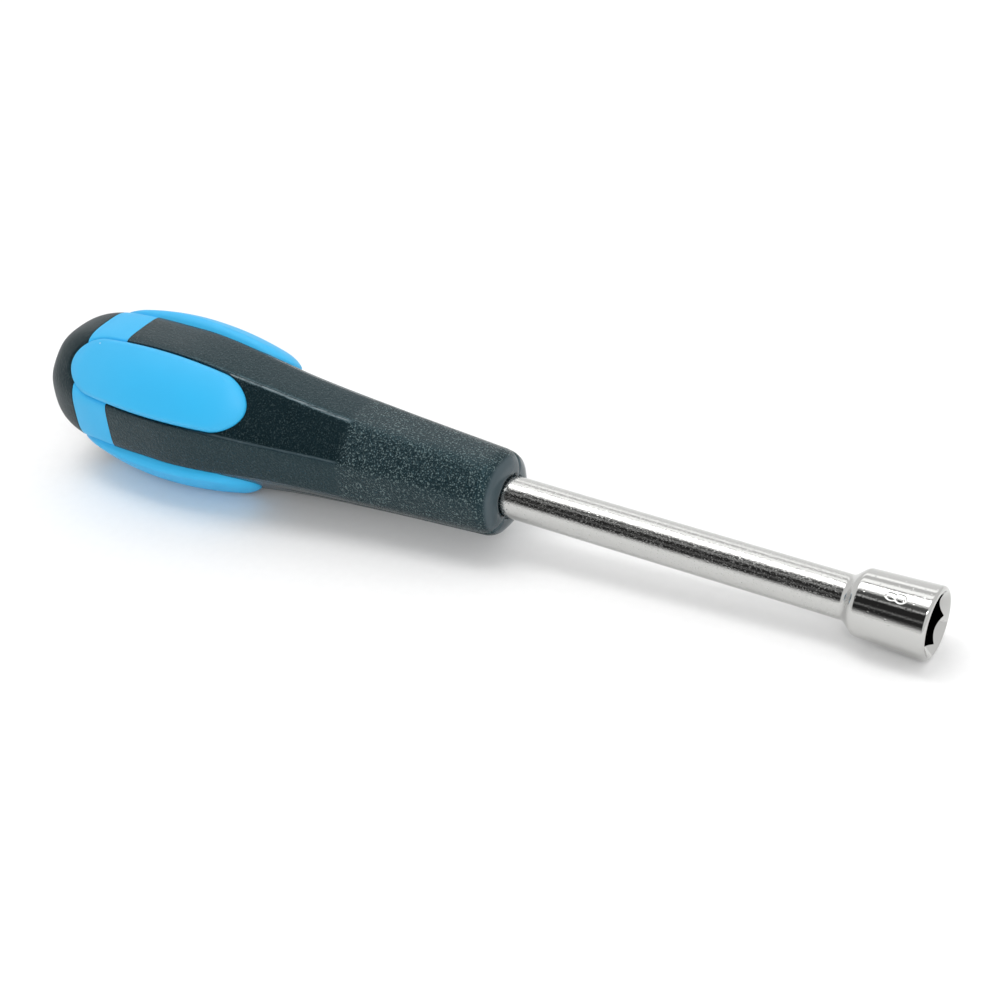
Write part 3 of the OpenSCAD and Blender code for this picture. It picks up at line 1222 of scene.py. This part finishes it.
@dataclass
class Studio:
    """Pale floor, a long softbox above the tool, a dark room behind the camera and two lamps."""

    camera: PhotoCamera = field(default_factory=PhotoCamera)
    paper: Finish = MattPaper()
    floor_w: float = 2400.0
    floor_points: int = 9
    rim_x: float = -0.54
    rim_z: float = -5.877
    handle_x: float = -20.0
    dark: float = 0.03
    box_light: float = 1.8
    strip_light: float = 5.0
    wall_light: float = 1.06
    end_light: float = 0.95
    lamp_aim: float = -76.0
    lamp_away: float = 600.0
    fill_size: float = 300.0
    fill_light: float = 5.0
    bare_size: float = 80.0
    bare_light: float = 45.0
    bare_turn: float = 24.0
    bare_way: Span = (0.97, 0.25)

    def surround(self) -> None:
        """Sets the light that the tool mirrors, as bands that run along its axis."""
        world = bpy.data.worlds.new("studio")
        world.use_nodes = True
        tree = world.node_tree
        tree.nodes.clear()
        way = add_node(tree, "TexCoord").outputs["Generated"]
        front = add_node(tree, "VectorMath", {
            0: way, 1: self.camera.toward(0)}, operation="DOT_PRODUCT")
        top = add_node(tree, "VectorMath", {
            0: way, 1: self.camera.toward(90)}, operation="DOT_PRODUCT")
        turn = add_node(tree, "Math", {
            0: top.outputs["Value"], 1: front.outputs["Value"]}, operation="ARCTAN2")
        along = add_node(tree, "SeparateXYZ", {"Vector": way})
        dark, box, strip, wall = self.dark, self.box_light, self.strip_light, self.wall_light
        # Degrees up from the camera's side, and the light there: floor, dark room with two slits, softbox and
        # the wall behind.
        bands = (
            (-180, wall), (-60, wall), (-38, 0.95), (-31, 0.24), (-24, dark), (-13, dark), (-9.5, 0.3),
            (-6, dark), (14.5, dark), (17.5, 1.0), (20.5, 0.1), (33, 0.12), (43, box), (47, strip),
            (60, strip), (63, box), (64.5, 0.3), (67.5, 0.3), (69, box), (80, box), (84, 0.85), (96, 0.85),
            (101, 1.9), (106, 1.9), (111, wall), (180, wall))
        # Past both ends of the tool stand pale walls, which the shoulder and the rim of the mouth turn to.
        ends = ((-1, 1.0), (-0.72, 1.0), (-0.58, 0.0), (-0.1, 0.0), (0.15, 1.0), (1, 1.0))
        greys: list[Socket] = []
        for value, reach, stops in ((turn.outputs["Value"], math.pi, bands), (along.outputs["X"], 1.0, ends)):
            share = add_node(tree, "MapRange", {"Value": value, "From Min": -reach, "From Max": reach})
            ramp = add_node(tree, "ValToRGB", {"Fac": share.outputs["Result"]})
            marks = ramp.color_ramp.elements
            for number, (place, light) in enumerate(stops):
                at = (place / stops[-1][0] + 1) / 2
                stop = marks[number] if number < 2 else marks.new(at)
                stop.position = at
                stop.color = (light, light, light, 1.0)
            greys.append(ramp.outputs["Color"])
        room = add_node(tree, "Mix", {
            "Factor": greys[1], 6: greys[0],
            7: (self.end_light, self.end_light, self.end_light, 1.0)}, data_type="RGBA")
        back = add_node(tree, "Background", {"Color": room.outputs[2], "Strength": 1.0})
        add_node(tree, "OutputWorld", {"Surface": back.outputs["Background"]})
        bpy.context.scene.world = world

    def lamp(self, name: str, way: Vector, size: float, light: float, glossy: bool) -> None:
        """Adds a round lamp that either lights the tool or only shows in its gloss.

        Args:
            name: The name of the lamp.
            way: Direction of the lamp from the tool.
            size: Its diameter in millimetres.
            light: Its radiance.
            glossy: Whether it shows in the gloss alone, or gives diffuse light alone.
        """
        source = bpy.data.lights.new(name, "AREA")
        source.shape = "DISK"
        source.size = size * MM
        source.energy = light * math.pi * math.pi * (size * MM / 2) ** 2
        piece = bpy.data.objects.new(name, source)
        aim = Vector((self.lamp_aim * MM, 0.0, 0.0))
        piece.location = aim + way.normalized() * self.lamp_away * MM
        piece.rotation_euler = way.to_track_quat("Z", "Y").to_euler()
        piece.visible_glossy = glossy
        piece.visible_diffuse = not glossy
        piece.visible_camera = False
        bpy.context.scene.collection.objects.link(piece)

    def lamps(self) -> None:
        """Adds a weak front light and a small bare lamp that gives the gloss its glints."""
        along = Vector((1.0, 0.0, 0.0))
        eye = self.camera.place()[1] - Vector((self.lamp_aim * MM, 0.0, 0.0))
        self.lamp("front_fill", eye, self.fill_size, self.fill_light, False)
        side, ahead = self.bare_way
        bare = self.camera.toward(self.bare_turn) * side + along * ahead
        self.lamp("bare_lamp", bare, self.bare_size, self.bare_light, True)

    def floor(self, resting: list[bpy.types.Object]) -> None:
        """Lays the paper under the tool so that the rim of the socket and the lower pads touch it.

        Args:
            resting: The pieces that can touch the floor.
        """
        points = np.concatenate([
            np.array([v.co[:] for v in piece.data.vertices]) for piece in resting]) / MM
        back = points[points[:, 0] < self.handle_x]
        slope = float(np.max((self.rim_z - back[:, 2]) / (self.rim_x - back[:, 0])))
        x, y = np.meshgrid(*[np.linspace(-self.floor_w, self.floor_w, self.floor_points)] * 2, indexing="ij")
        grid = np.stack([x, y, self.rim_z + slope * (x - self.rim_x)], axis=-1)
        skin = Skin()
        skin.add(grid)
        paper = skin.build("paper_floor")
        paper.data.materials.append(self.paper.build())

    def build(self, resting: list[bpy.types.Object]) -> None:
        """Sets floor, light, camera and a plain tone curve.

        Args:
            resting: The pieces that can touch the floor.
        """
        self.surround()
        self.lamps()
        self.floor(resting)
        self.camera.build()
        bpy.context.scene.view_settings.view_transform = "Standard"


def main() -> None:
    """Builds the pieces in order, then the studio round them."""
    logging.basicConfig(level=logging.INFO, format="%(message)s")
    pieces = [assembly.build() for assembly in (Blade(), Sleeve(), SoftGrip(), Butt())]
    for piece in pieces:
        LOG.info("%s: %d points, %d faces", piece.name, len(piece.data.vertices), len(piece.data.polygons))
    Studio().build(pieces)


if __name__ == "__main__":
    main()
